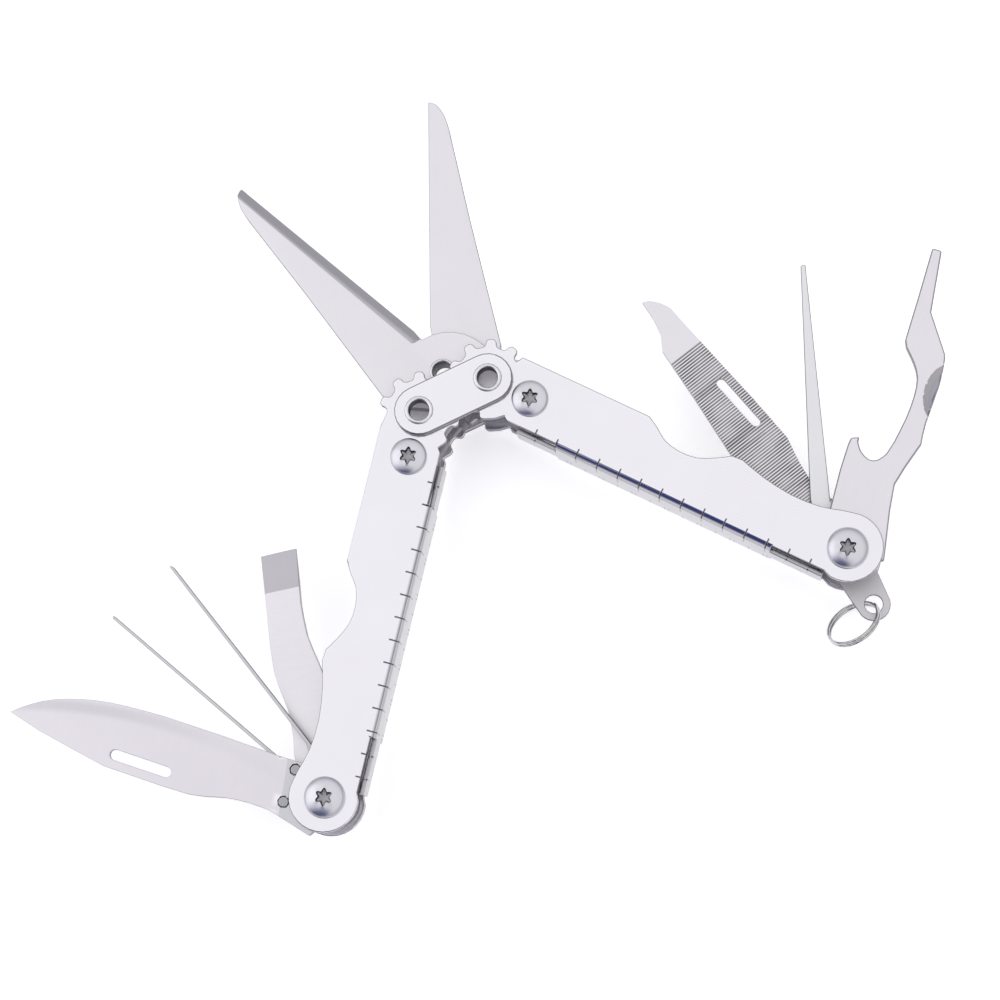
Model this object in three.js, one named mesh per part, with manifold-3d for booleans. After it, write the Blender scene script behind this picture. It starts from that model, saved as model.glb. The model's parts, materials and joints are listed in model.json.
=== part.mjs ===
// A folding multi tool with geared scissor handles, lying open with its implements fanned out.
// Millimetres, +Z up. +X runs from the left gear pivot to the right one, +Y along the shut scissor
// blades, and the tool lies flat, its thickness along Z. The origin is the centre of its footprint,
// on the surface that it lies on.
import * as THREE from "three";
import { mergeVertices } from "three/addons/utils/BufferGeometryUtils.js";
import Module from "manifold-3d";

const wasm = await Module();
wasm.setup();

// ---- Driving dimensions ----
const gearPivotX = 5.2; // half the distance between the gear pivots
const handleLength = 54.3; // gear pivot to end pivot
const drivePivot = 6.45; // gear pivot to the screw that drives a scissor blade
const driveLink = 13.16; // drive screw to the scissor pivot
const handleOpen = 38.5; // each handle's angle from shut, degrees
const handleThickness = 9;
const wall = 0.8;
const handleHalfWidth = 4.75; // handle axis to the outside of the spine
const pitchAngle = 36; // ten teeth to the full turn
const tipRadius = 5.65;
const rootRadius = 4.55;
const linkThickness = 0.9;
const linkRadius = 3.45;
const bladeThickness = 1.7; // each scissor blade
const headHeight = 1.2; // rivet and end screw heads, above the handle's face
const driveHeadHeight = 1;
const slip = 0.1; // a pin's clearance in its hole
const gap = 0.03; // between flat faces that touch
const layerGap = 0.05; // between the pieces stacked on one screw
const left = -1;
const right = 1;
const front = 1;
const rear = -1;

const half = handleThickness / 2;
const halfInside = half - wall;
const restZ = half + headHeight;
const endScrew = { head: 2.85, top: restZ, barrel: 1.5, shaft: 0.95, bore: 1.05 };
const driveScrew = { head: 2.55, top: half + driveHeadHeight, barrel: 1.3, shaft: 0.8, bore: 0.9 };
const recess = { radius: 1.15, waist: 0.83, depth: 0.85, lobes: 6 };

// Angles from folded, in degrees, at which the implements stand.
const openAngle = {
  knife: 88,
  tweezers: 48.3,
  chisel: 26,
  opener: 81,
  pick: 56.1,
  file: 25.9,
  tab: 215.6,
};
const tweezerSpread = 15.4;

// ---- Plane geometry ----
const radians = THREE.MathUtils.degToRad;
const degrees = THREE.MathUtils.radToDeg;

function polar(radius, angle, cx = 0, cy = 0) {
  return [cx + radius * Math.cos(radians(angle)), cy + radius * Math.sin(radians(angle))];
}

// Points on an arc, ends included, at most `step` degrees apart.
function arc(cx, cy, radius, from, to, step = 15) {
  const count = Math.max(1, Math.ceil(Math.abs(to - from) / step));
  const points = [];
  for (let i = 0; i <= count; i += 1) {
    points.push(polar(radius, from + ((to - from) * i) / count, cx, cy));
  }
  return points;
}

// A smooth line through the given points.
function smooth(points, perSpan = 2) {
  const curve = new THREE.SplineCurve(points.map(([x, y]) => new THREE.Vector2(x, y)));
  return curve.getPoints(perSpan * (points.length - 1)).map((p) => [p.x, p.y]);
}

function shapeOf(points) {
  return new THREE.Shape(points.map(([x, y]) => new THREE.Vector2(x, y)));
}

function counterClockwise(points) {
  return THREE.ShapeUtils.isClockWise(shapeOf(points).getPoints()) ? [...points].reverse() : points;
}

function circle(radius, cx = 0, cy = 0, step = 20) {
  return arc(cx, cy, radius, 0, 360 - step, step);
}

// A long hole with round ends.
function longHole([x1, y1], [x2, y2], radius) {
  const heading = degrees(Math.atan2(y2 - y1, x2 - x1));
  return [
    ...arc(x2, y2, radius, heading - 90, heading + 90, 30),
    ...arc(x1, y1, radius, heading + 90, heading + 270, 30),
  ];
}

// ---- Solids ----
// A flat plate between two heights, from an outline and the outlines of its holes.
function plate(points, z0, z1, holes = []) {
  const shape = shapeOf(counterClockwise(points));
  shape.holes = holes.map((hole) => shapeOf(counterClockwise(hole)));
  const depth = Math.abs(z1 - z0);
  return new THREE.ExtrudeGeometry(shape, { depth, bevelEnabled: false }).translate(0, 0, Math.min(z0, z1));
}

// A solid of revolution about Z, from a profile of radius and height.
function turned(profile, sides = 24) {
  const points = counterClockwise(profile).map(([radius, height]) => new THREE.Vector2(radius, height));
  return new THREE.LatheGeometry(points, sides).rotateX(Math.PI / 2);
}

function manifoldOf(geometry) {
  const bare = geometry.clone();
  bare.deleteAttribute("normal");
  bare.deleteAttribute("uv");
  const merged = mergeVertices(bare, 1e-4);
  const vertProperties = new Float32Array(merged.attributes.position.array);
  const triVerts = new Uint32Array(merged.index.array);
  return new wasm.Manifold(new wasm.Mesh({ numProp: 3, vertProperties, triVerts }));
}

function geometryOf(body) {
  const mesh = body.getMesh();
  const geometry = new THREE.BufferGeometry();
  geometry.setAttribute("position", new THREE.BufferAttribute(mesh.vertProperties, 3));
  geometry.setIndex(new THREE.BufferAttribute(mesh.triVerts, 1));
  geometry.computeVertexNormals();
  return geometry;
}

function cut(body, ...tools) {
  return geometryOf(tools.map(manifoldOf).reduce((rest, tool) => rest.subtract(tool), manifoldOf(body)));
}

// ---- Materials ----
function steel(color, roughness) {
  return new THREE.MeshStandardMaterial({ color, roughness, metalness: 1 });
}

const satinSteel = steel("#e2dfe6", 0.3);
const blastedSteel = steel("#d9d6dd", 0.55);
const brushedSteel = steel("#d2cfd6", 0.4);
const polishedSteel = steel("#c9c8d2", 0.16);
const paleSteel = steel("#e8e8ea", 0.5);

// ---- Building the tree ----
function add(parent, name, geometry, material) {
  const mesh = new THREE.Mesh(geometryOf(manifoldOf(geometry)), material);
  mesh.name = name;
  parent.add(mesh);
}

function turnedGroup(parent, x, y, angle) {
  const group = new THREE.Group();
  group.position.set(x, y, 0);
  group.rotation.z = radians(angle);
  parent.add(group);
  return group;
}

// ---- Link plates and their tubular rivets ----
const linkRivet = { bore: 1.42, tube: 1.7, collar: 1.95, foot: 2.2, footThickness: 0.3 };
const linkBottom = half + slip;
const linkTop = linkBottom + linkThickness;
const rolledEdge = 0.1; // how far a rolled collar narrows towards its top

function linkPlate(face) {
  const outline = [
    ...arc(gearPivotX, 0, linkRadius, -90, 90),
    ...arc(-gearPivotX, 0, linkRadius, 90, 270),
  ];
  const holes = [left, right].map((side) => circle(linkRivet.tube + slip, side * gearPivotX));
  return plate(outline, face * linkBottom, face * linkTop, holes);
}

// A short tube with a rolled collar over the link plate and a foot inside the handle.
function tubularRivet(face) {
  const footTop = halfInside - layerGap;
  const footBottom = footTop - linkRivet.footThickness;
  const collarBottom = linkTop + gap;
  const profile = [
    [linkRivet.bore, footBottom],
    [linkRivet.foot, footBottom],
    [linkRivet.foot, footTop],
    [linkRivet.tube, footTop],
    [linkRivet.tube, collarBottom],
    [linkRivet.collar, collarBottom],
    [linkRivet.collar - rolledEdge, restZ],
    [linkRivet.bore, restZ],
    [linkRivet.bore, footBottom],
  ];
  return turned(profile.map(([radius, height]) => [radius, face * height]));
}

// ---- Handles ----
// A handle is drawn as [along, out]: `along` runs from the gear pivot to the end pivot and `out`
// points away from the other handle. Its spine is on the negative side. In the tree it hangs down
// from its gear pivot.
const hang = (side) => ([along, out]) => [side * out, -along];

const spine = {
  inner: -(handleHalfWidth - wall),
  outer: -handleHalfWidth,
  cutEdge: -4.05, // plate edge beside the slots
  start: 6.4,
  gearSlotEnd: 12.5,
  endSlotStart: 45,
  end: 52.7,
  tongue: 2.1, // half height of the tongues that reach between the slots
  bendRadius: 1.1,
};
const shoulderStart = 40; // where the gear's round inner shoulder begins, degrees from the handle axis
const backlash = 0.8; // what each tooth gives up on either flank, degrees

// Half the angle that a tooth takes up at a radius: involute flanks at 20 degrees of pressure angle.
function toothHalfAngle(radius) {
  const pressure = radians(20);
  const base = gearPivotX * Math.cos(pressure);
  const involute = (angle) => Math.tan(angle) - angle;
  const local = radius > base ? Math.acos(base / radius) : 0;
  return pitchAngle / 4 - backlash + degrees(involute(pressure) - involute(local));
}

// The toothed edge, from the round inner shoulder over the teeth to the outer shoulder. Gear angles
// are measured from the handle axis towards the inner side. Roots are filleted and crowns rounded.
function gearEdge(firstTooth) {
  const at = (radius, angle) => polar(radius, -angle);
  const rootFillet = [[0, 5], [0.1, 2], [0.35, 0]]; // [height over the root, degrees beyond the flank]
  const crown = [[0.3, 1], [0.1, 0.8], [0, 0.45]]; // [depth under the tip, share of the tooth's width]
  const flank = [
    ...rootFillet.map(([rise, beyond]) => [rootRadius + rise, toothHalfAngle(rootRadius + rise) + beyond]),
    ...crown.map(([depth, share]) => [tipRadius - depth, toothHalfAngle(tipRadius - depth) * share]),
  ];
  const flankUp = (tooth) => flank.map(([radius, halfAngle]) => at(radius, tooth - halfAngle));
  const flankDown = (tooth) => flank.map(([radius, halfAngle]) => at(radius, tooth + halfAngle)).reverse();
  const shoulderTooth = firstTooth - pitchAngle;
  const points = arc(0, 0, tipRadius, -shoulderStart, -shoulderTooth);
  points.push(...flankDown(shoulderTooth));
  for (let tooth = firstTooth; tooth < firstTooth + 6 * pitchAngle; tooth += pitchAngle) {
    points.push(...flankUp(tooth), ...flankDown(tooth));
  }
  points.push(at(rootRadius, firstTooth + 5.5 * pitchAngle));
  return points;
}

function handleOutline(firstTooth) {
  const finger = [[22.3, 4.85], [24, 3.9], [25.6, 2.8], [27.9, 2.25], [30.6, 2.45], [33, 3.6], [34.8, 4.75]];
  const endHollow = [[36.4, 4.85], [39.8, 3.95], [44.3, 3.35], [48.5, 3.6], [51.4, 4.4]];
  return [
    ...gearEdge(firstTooth),
    [3, 4.8],
    ...smooth(finger),
    ...smooth(endHollow),
    ...arc(handleLength, 0.2, handleHalfWidth, 106, -96, 12),
    [spine.end, spine.cutEdge],
    [spine.end, spine.outer],
    [spine.start, spine.outer],
    [spine.start, spine.cutEdge],
    [4.9, spine.cutEdge],
  ];
}

// What is cut off one long edge of the spine to round it into the sheet's bend.
function bendCutter(side, face) {
  const r = spine.bendRadius;
  const beyond = 1;
  const section = [
    [spine.outer - beyond, half - r],
    ...arc(spine.outer + r, half - r, r, 180, 90, 22.5),
    [spine.outer + r, half + beyond],
    [spine.outer - beyond, half + beyond],
  ].map(([out, height]) => [side * out, face * height]);
  return plate(section, spine.gearSlotEnd, spine.endSlotStart).rotateX(Math.PI / 2);
}

// A folded channel. Its spine narrows to a tongue beside the slot near either end, and past the
// tongues there are just the two plates.
function handleChannel(side, firstTooth) {
  const place = hang(side);
  const reach = 10;
  const past = handleLength + reach;
  const bar = (from, to, outFrom, outTo, z0, z1) => {
    const corners = [[from, outFrom], [to, outFrom], [to, outTo], [from, outTo]];
    return plate(corners.map(place), z0, z1);
  };
  const hollow = (from, to, outFrom, outTo) => bar(from, to, outFrom, outTo, -halfInside, halfInside);
  const slot = (from, to, face) => [
    bar(from, to, -reach, spine.cutEdge, face * spine.tongue, face * reach),
    bar(from, to, -reach, 0, face * spine.tongue, face * halfInside),
  ];
  const holes = [
    circle(linkRivet.tube + slip),
    circle(driveScrew.barrel + slip, drivePivot),
    circle(endScrew.barrel + slip, handleLength),
  ].map((hole) => hole.map(place));
  return cut(
    plate(handleOutline(firstTooth).map(place), -half, half, holes),
    hollow(-reach, past, spine.inner, reach),
    hollow(-reach, spine.start, -reach, 0),
    hollow(spine.end, past, -reach, 0),
    ...[front, rear].flatMap((face) => [
      ...slot(spine.start, spine.gearSlotEnd, face),
      ...slot(spine.endSlotStart, spine.end, face),
      bendCutter(side, face),
    ]),
  );
}

// ---- Screws, barrels, spacers and washers ----
const headBottom = half + gap;
const headRim = 0.3;
const threadStart = -1.5;
const boreBottom = -2;
const washerRadius = 3.3;
const spacerRadius = 2.2;

// A round-lobed star, cut into a head that faces up or down.
function starRecess(face, top) {
  const points = [];
  for (let i = 0; i < 2 * recess.lobes; i += 1) {
    points.push(polar(i % 2 ? recess.waist : recess.radius, (i * 180) / recess.lobes));
  }
  return plate(points, face * (top - recess.depth), face * (top + 1));
}

// A low dome, a quarter ellipse on a straight rim.
function domedHead(size) {
  const rim = headBottom + headRim;
  const profile = [[size.head, headBottom]];
  for (let angle = 0; angle <= 90; angle += 22.5) {
    const [radius, rise] = polar(1, angle);
    profile.push([size.head * radius, rim + (size.top - rim) * rise]);
  }
  return profile;
}

function screw(size) {
  const profile = [
    [0, threadStart],
    [size.shaft, threadStart],
    [size.shaft, headBottom],
    ...domedHead(size),
  ];
  return cut(turned(profile), starRecess(front, size.top));
}

// The barrel nut: a domed head on the back and a sleeve that the screw enters.
function barrel(size) {
  const sleeveTop = halfInside + 0.3;
  const profile = [
    ...domedHead(size).reverse().map(([radius, height]) => [radius, -height]),
    [size.barrel, -headBottom],
    [size.barrel, sleeveTop],
    [size.bore, sleeveTop],
    [size.bore, boreBottom],
    [0, boreBottom],
  ];
  return cut(turned(profile), starRecess(rear, size.top));
}

function washer(radius, barrelRadius, layer) {
  return plate(circle(radius), layer.bottom, layer.top, [circle(barrelRadius + slip)]);
}

// Stacks layers from the front plate to the back one: each gets its top and bottom heights.
function stack(thicknesses) {
  const layers = {};
  let top = halfInside - 0.08;
  Object.entries(thicknesses).forEach(([name, thickness]) => {
    layers[name] = { top, bottom: top - thickness };
    top -= thickness + layerGap;
  });
  return layers;
}

// ---- Scissor blades ----
// Drawn shut, with the scissor pivot at the origin and the drive screw at the lower right.
const shutPivotY = Math.sqrt(driveLink ** 2 - gearPivotX ** 2);
const pivotRivet = { bore: 1.35, tube: 1.6, collar: 1.85, rise: 0.3, backCollar: 2.75 };
const bladeHole = { front: pivotRivet.tube + slip, rear: 2.25 };
const bladeInner = gap;
const bladeOuter = gap + bladeThickness;

// The front blade hangs on the right handle's drive screw and the rear one on the left handle's. Each
// is placed with that screw at the origin.
function scissorBlade(side, hole) {
  const outline = [
    ...smooth([[-0.3, 39.5], [-1.4, 39.1], [-2.45, 37.4], [-2.95, 35.5]]),
    [-5, 22.3],
    [-8.2, 3.6],
    [-7.6, 0.9],
    [-4.2, -3.4],
    [1.4, -9.6],
    ...arc(gearPivotX, -shutPivotY, 3.2, 165, 360),
    [7, -3.2],
    ...arc(-0.4, -1.5, 7, 0, 76),
    [1.5, 7.2],
  ];
  const place = ([x, y]) => [side * (x - gearPivotX), y + shutPivotY];
  const holes = [circle(hole), circle(driveScrew.barrel + slip, gearPivotX, -shutPivotY)];
  return plate(outline.map(place), side * bladeInner, side * bladeOuter, holes.map((h) => h.map(place)));
}

// A tube through both blades, with a rolled collar in front and a wide one behind.
function scissorRivet() {
  const backTop = -bladeOuter - layerGap;
  const backBottom = backTop - pivotRivet.rise;
  const collarBottom = bladeOuter + gap;
  const collarTop = collarBottom + pivotRivet.rise;
  const profile = [
    [pivotRivet.bore, backBottom],
    [pivotRivet.backCollar, backBottom],
    [pivotRivet.backCollar, backTop],
    [pivotRivet.tube, backTop],
    [pivotRivet.tube, collarBottom],
    [pivotRivet.collar, collarBottom],
    [pivotRivet.collar - rolledEdge, collarTop],
    [pivotRivet.bore, collarTop],
    [pivotRivet.bore, backBottom],
  ];
  return turned(profile).translate(-gearPivotX, shutPivotY, 0);
}

// ---- Implements ----
// An implement is drawn as [along, in]: `along` runs from the end screw to the tip and `in` points at
// the handle's spine when the implement is folded.
const tangRadius = 3.7;
const fold = (side) => ([along, inward]) => [-side * inward, along];

function implement(side, points, layer, holes = []) {
  const place = fold(side);
  const eye = circle(endScrew.barrel + slip);
  return plate(points.map(place), layer.bottom, layer.top, [eye, ...holes].map((h) => h.map(place)));
}

function knifeOutline() {
  return [
    [45.4, 0],
    ...smooth([[44, 1.1], [41.5, 2.6], [38.4, 3.75], [34.5, 4.6], [30, 4.95], [24.5, 4.95]]),
    [16.6, 4.5],
    [7.7, 3.85],
    ...arc(0, 0, tangRadius, 75, 262),
    [0.8, -5.45],
    ...smooth([[6.9, -3.6], [10, -3.35], [13.1, -3.5], [16, -4.1], [18.5, -4.4]]),
    [23.2, -4.22],
    ...smooth([[30.8, -3.75], [34.6, -2.9], [40.6, -1.5]]),
  ];
}

function chiselOutline() {
  return [
    [35.3, -2.53],
    [35.3, 2.53],
    [29.5, 1.85],
    ...smooth([[27.5, 1.6], [23, 1.55], [19, 2.3], [14, 3.1], [8, 3.6]]),
    ...arc(0, 0, tangRadius, 90, 270),
    [7.2, -3.58],
    [9.7, -3.2],
    [13.4, -3.15],
    [17, -3.75],
    [19, -3.98],
    [22.5, -3.8],
    [29.9, -3],
  ];
}

function openerOutline() {
  return [
    [43.5, -0.68],
    [43.5, 0.68],
    [36.5, 0.62],
    [30, 0.64],
    ...smooth([[29, 0.2], [27.2, -1.35], [25.4, -2.35], [23, -2.65], [19.7, -2.47], [16, -1.84]]),
    ...smooth([[14.1, -1.3], [13, -0.45], [12.7, 0.7], [13.5, 2.05], [14.7, 2.8]]),
    [15.3, 2.75],
    [14.9, 3.85],
    [13.9, 4],
    [10.3, 4.05],
    [4.9, 3.8],
    ...arc(0, 0, tangRadius, 80, 262),
    [-0.1, -5.15],
    [6.7, -4],
    [10.4, -3.6],
    [13.2, -4.35],
    ...smooth([[16.7, -5.5], [19.7, -5.3], [25.4, -5.6], [28.9, -5.3]]),
    [29.6, -5.1],
    [32.9, -2.9],
    [34.7, -1.7],
    [38.5, -1.28],
  ];
}

function fileOutline() {
  return [
    [45.06, 0],
    ...smooth([[44.6, -0.9], [43.4, -1.9], [42, -2.55]]),
    [39.5, -2.65],
    [31.7, -3.1],
    [24.6, -3.5],
    [17.6, -3.74],
    [14, -2.9],
    [11.4, -2.55],
    [4, -3.6],
    ...arc(0, 0, tangRadius, 285, 90),
    [12, 4],
    [19.9, 3.85],
    [29.7, 2.8],
    [35.6, 2.3],
    ...smooth([[37.9, 2.1], [38.9, 1.5], [40.1, 0.75], [42.6, 0.2]]),
  ];
}

function pickOutline() {
  return [
    [40.45, -0.34],
    [40.45, 0.34],
    [24, 2.2],
    [7.9, 3.85],
    [4, 3.7],
    ...arc(0, 0, tangRadius, 90, 285),
    [7.2, 1.2],
    [25.6, 0.34],
  ];
}

const tabEye = { along: 7.64, radius: 1.25, rim: 2.3 };

function tabOutline() {
  const neck = { along: 4.2, halfWidth: 2.6 };
  return [
    ...arc(0, 0, 3.2, 60, 300),
    [neck.along, -neck.halfWidth],
    ...arc(tabEye.along, 0, tabEye.rim, -75, 75),
    [neck.along, neck.halfWidth],
  ];
}

// ---- Assembly ----
const tool = new THREE.Group();

[["front", front], ["rear", rear]].forEach(([faceName, face]) => {
  add(tool, "link_plate_" + faceName, linkPlate(face), satinSteel);
  [["left", left], ["right", right]].forEach(([sideName, side]) => {
    const rivet = tubularRivet(face).translate(side * gearPivotX, 0, 0);
    add(tool, "link_rivet_" + faceName + "_" + sideName, rivet, polishedSteel);
  });
});

function addScrew(handle, place, name, size, along) {
  add(handle, place + "_screw_" + name, screw(size).translate(0, -along, 0), polishedSteel);
  add(handle, place + "_barrel_" + name, barrel(size).translate(0, -along, 0), polishedSteel);
}

// The drive screw also holds a scissor blade, with a spacer in front of it and one behind.
function handleAssembly(side, name, firstTooth) {
  const handle = turnedGroup(tool, side * gearPivotX, 0, side * handleOpen);
  add(handle, "handle_" + name, handleChannel(side, firstTooth), satinSteel);
  addScrew(handle, "drive", name, driveScrew, drivePivot);
  addScrew(handle, "end", name, endScrew, handleLength);
  const plateSide = halfInside - layerGap;
  const bladeFront = (side === right ? bladeOuter : -bladeInner) + layerGap;
  const bladeBack = (side === right ? bladeInner : -bladeOuter) - layerGap;
  [["front", bladeFront, plateSide], ["rear", -plateSide, bladeBack]].forEach(([faceName, bottom, top]) => {
    const spacer = washer(spacerRadius, driveScrew.barrel, { bottom, top });
    add(handle, "drive_spacer_" + faceName + "_" + name, spacer.translate(0, -drivePivot, 0), brushedSteel);
  });
  return handle;
}

const leftHandle = handleAssembly(left, "left", 86.5);
const rightHandle = handleAssembly(right, "right", 104.5);

// How far the blades stand open, from where the scissor pivot lies when the handles are open.
const driveReach = gearPivotX + drivePivot * Math.sin(radians(handleOpen));
const bladeOpen = degrees(Math.asin(driveReach / driveLink) - Math.asin(gearPivotX / driveLink));

const frontBlade = turnedGroup(rightHandle, 0, -drivePivot, bladeOpen - handleOpen);
add(frontBlade, "scissor_blade_front", scissorBlade(front, bladeHole.front), blastedSteel);
add(frontBlade, "scissor_rivet", scissorRivet(), polishedSteel);
const rearBlade = turnedGroup(leftHandle, 0, -drivePivot, handleOpen - bladeOpen);
add(rearBlade, "scissor_blade_rear", scissorBlade(rear, bladeHole.rear), blastedSteel);

function implementGroup(handle, side, angle) {
  return turnedGroup(handle, 0, -handleLength, -side * angle);
}

// Left handle: knife, tweezers and chisel driver.
const leftStack = stack({
  knife: 1.5,
  tangPlate: 0.4,
  front: 0.25,
  tweezers: 2,
  middle: 0.3,
  chisel: 1.6,
  rear: 0.86,
});

// The knife's tang is doubled by a thin plate, held by two rivets.
const knife = implementGroup(leftHandle, left, openAngle.knife);
const knifeRivets = [[5, 2.6], [5.4, -2]];
const knifeRivetRadius = 0.75;
const knifeRivetHole = ([along, inward]) => circle(knifeRivetRadius + slip, along, inward, 45);
const knifeRivetHoles = knifeRivets.map(knifeRivetHole);
const thumbSlot = longHole([29.6, -1.86], [22.1, -2.3], 0.72);
const knifeBlade = implement(left, knifeOutline(), leftStack.knife, [thumbSlot, ...knifeRivetHoles]);
add(knife, "knife_blade", knifeBlade, brushedSteel);
const tangPlateOutline = [...arc(0, 0, tangRadius, 80, 280), [6.9, -3.4], [6.9, 3.8]];
const tangPlate = implement(left, tangPlateOutline, leftStack.tangPlate, knifeRivetHoles);
add(knife, "knife_tang_plate", tangPlate, brushedSteel);
knifeRivets.map(fold(left)).forEach(([x, y], index) => {
  const rivet = plate(circle(knifeRivetRadius, 0, 0, 30), leftStack.tangPlate.bottom, leftStack.knife.top);
  add(knife, "knife_rivet_" + (index + 1), rivet.translate(x, y, 0), polishedSteel);
});

// Tweezers: one arm has the eye, and the other springs from a root beside it.
const tweezerRoot = [6.6, -1.6];
const tweezers = implementGroup(leftHandle, left, openAngle.tweezers);
const fixedArmOutline = [
  [39.3, 0],
  [39.1, 0.4],
  [8, 2.3],
  [3.2, 2.3],
  ...arc(0, 0, 3.6, 90, 325),
  [4.8, -0.6],
  [5.4, 1],
  [8, 1.85],
];
add(tweezers, "tweezer_arm_fixed", implement(left, fixedArmOutline, leftStack.tweezers), paleSteel);
const springArm = turnedGroup(tweezers, ...fold(left)(tweezerRoot), tweezerSpread);
const springArmOutline = [
  [32.7, 0.15],
  [32.5, -0.25],
  [0.6, -0.6],
  ...arc(0, 0, 0.7, 270, 90, 30),
  [0.6, -0.15],
];
const { bottom: tweezerBottom, top: tweezerTop } = leftStack.tweezers;
const springArmPlate = plate(springArmOutline.map(fold(left)), tweezerBottom, tweezerTop);
add(springArm, "tweezer_arm_spring", springArmPlate, paleSteel);

const chisel = implementGroup(leftHandle, left, openAngle.chisel);
add(chisel, "chisel_driver", implement(left, chiselOutline(), leftStack.chisel), brushedSteel);

// Right handle: bottle opener, pick, nail file and lanyard tab.
const rightStack = stack({
  opener: 1.6,
  front: 0.3,
  pick: 1.1,
  second: 0.45,
  file: 1.2,
  third: 0.57,
  tab: 0.6,
  tabWasher: 1.04,
});

const opener = implementGroup(rightHandle, right, openAngle.opener);
add(opener, "bottle_opener", implement(right, openerOutline(), rightStack.opener), brushedSteel);
const pick = implementGroup(rightHandle, right, openAngle.pick);
add(pick, "pick", implement(right, pickOutline(), rightStack.pick), paleSteel);
const file = implementGroup(rightHandle, right, openAngle.file);
const fileSlot = longHole([29.3, -1.43], [22, -1.75], 0.65);
add(file, "nail_file", implement(right, fileOutline(), rightStack.file, [fileSlot]), brushedSteel);

// Washers between the implements.
const endWashers = [
  ["left", leftHandle, leftStack, ["front", "middle", "rear"]],
  ["right", rightHandle, rightStack, ["front", "second", "third"]],
];
endWashers.forEach(([name, handle, layers, places]) => {
  places.forEach((place) => {
    const endWasher = washer(washerRadius, endScrew.barrel, layers[place]).translate(0, -handleLength, 0);
    add(handle, "end_washer_" + place + "_" + name, endWasher, brushedSteel);
  });
});

// The lanyard tab and the washer behind it turn apart from the implements.
const tabWasher = implementGroup(rightHandle, right, openAngle.tab);
add(tabWasher, "lanyard_washer", washer(washerRadius, endScrew.barrel, rightStack.tabWasher), brushedSteel);
const tab = new THREE.Group();
tabWasher.add(tab);
const tabHole = circle(tabEye.radius, tabEye.along);
add(tab, "lanyard_tab", implement(right, tabOutline(), rightStack.tab, [tabHole]), brushedSteel);

// Split ring: two turns of round wire, leaning through the tab's eye.
const splitRing = { radius: 3.85, wire: 0.25, pitch: 0.524, turns: 2, steps: 48 };
const ringLean = 48; // from lying flat, degrees
const ringHeading = 13.9; // of the axis that it leans about, degrees from +X
const ringInEye = 7.5; // where the wire passes the eye, degrees round the ring

class Coil extends THREE.Curve {
  getPoint(t) {
    const [x, y] = polar(splitRing.radius, t * splitRing.turns * 360);
    return new THREE.Vector3(x, y, (t - 0.5) * splitRing.turns * splitRing.pitch);
  }
}

function splitRingWire() {
  const section = shapeOf(circle(splitRing.wire, 0, 0, 60));
  const sweep = { steps: splitRing.steps, extrudePath: new Coil(), bevelEnabled: false };
  const [eyeX, eyeY] = polar(splitRing.radius, ringInEye);
  return new THREE.ExtrudeGeometry(section, sweep).translate(-eyeX, -eyeY, 0);
}

const ringGroup = turnedGroup(tab, 0, tabEye.along, ringHeading - handleOpen + openAngle.tab);
ringGroup.position.z = (rightStack.tab.top + rightStack.tab.bottom) / 2;
const leaning = new THREE.Group();
leaning.rotation.x = radians(-ringLean);
ringGroup.add(leaning);
add(leaning, "split_ring", splitRingWire(), polishedSteel);

// Lay the tool down with the centre of its footprint at the origin.
const object = new THREE.Group();
object.add(tool);
const box = new THREE.Box3().setFromObject(tool, true);
tool.position.set(-(box.min.x + box.max.x) / 2, -(box.min.y + box.max.y) / 2, -box.min.z);

export default object;
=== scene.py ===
"""A folding multi tool with geared scissor handles, lying open on a pale floor."""

import json
import math

import bmesh
import bpy
from mathutils import Matrix, Vector

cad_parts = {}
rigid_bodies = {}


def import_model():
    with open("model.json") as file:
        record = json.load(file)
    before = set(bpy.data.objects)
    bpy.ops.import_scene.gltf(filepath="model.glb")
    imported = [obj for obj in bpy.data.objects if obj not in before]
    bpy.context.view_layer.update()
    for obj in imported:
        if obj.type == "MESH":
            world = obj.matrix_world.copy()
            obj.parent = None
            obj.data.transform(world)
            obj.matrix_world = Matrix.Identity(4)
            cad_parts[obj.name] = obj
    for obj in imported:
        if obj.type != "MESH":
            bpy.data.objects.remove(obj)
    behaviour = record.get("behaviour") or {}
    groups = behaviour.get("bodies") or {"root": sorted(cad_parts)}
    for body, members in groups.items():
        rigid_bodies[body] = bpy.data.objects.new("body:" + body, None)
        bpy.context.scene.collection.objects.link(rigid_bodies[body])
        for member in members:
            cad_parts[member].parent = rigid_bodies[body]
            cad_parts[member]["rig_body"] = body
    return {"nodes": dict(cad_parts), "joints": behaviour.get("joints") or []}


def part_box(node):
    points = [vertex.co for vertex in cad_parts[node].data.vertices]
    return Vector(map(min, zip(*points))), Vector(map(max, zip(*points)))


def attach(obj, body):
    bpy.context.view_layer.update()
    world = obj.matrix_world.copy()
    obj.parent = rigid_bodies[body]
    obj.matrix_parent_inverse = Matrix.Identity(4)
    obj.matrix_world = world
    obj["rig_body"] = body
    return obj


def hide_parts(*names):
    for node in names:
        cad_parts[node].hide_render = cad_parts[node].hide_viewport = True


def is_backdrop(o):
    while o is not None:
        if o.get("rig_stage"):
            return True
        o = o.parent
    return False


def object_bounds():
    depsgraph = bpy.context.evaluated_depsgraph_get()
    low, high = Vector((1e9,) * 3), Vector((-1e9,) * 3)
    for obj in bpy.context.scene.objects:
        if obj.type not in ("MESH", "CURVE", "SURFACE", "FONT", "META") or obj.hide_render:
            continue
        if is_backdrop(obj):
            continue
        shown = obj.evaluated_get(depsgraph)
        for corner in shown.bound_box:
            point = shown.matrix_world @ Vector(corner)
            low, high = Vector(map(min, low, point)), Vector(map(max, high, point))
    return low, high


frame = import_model()
cad_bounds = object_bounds()

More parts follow.
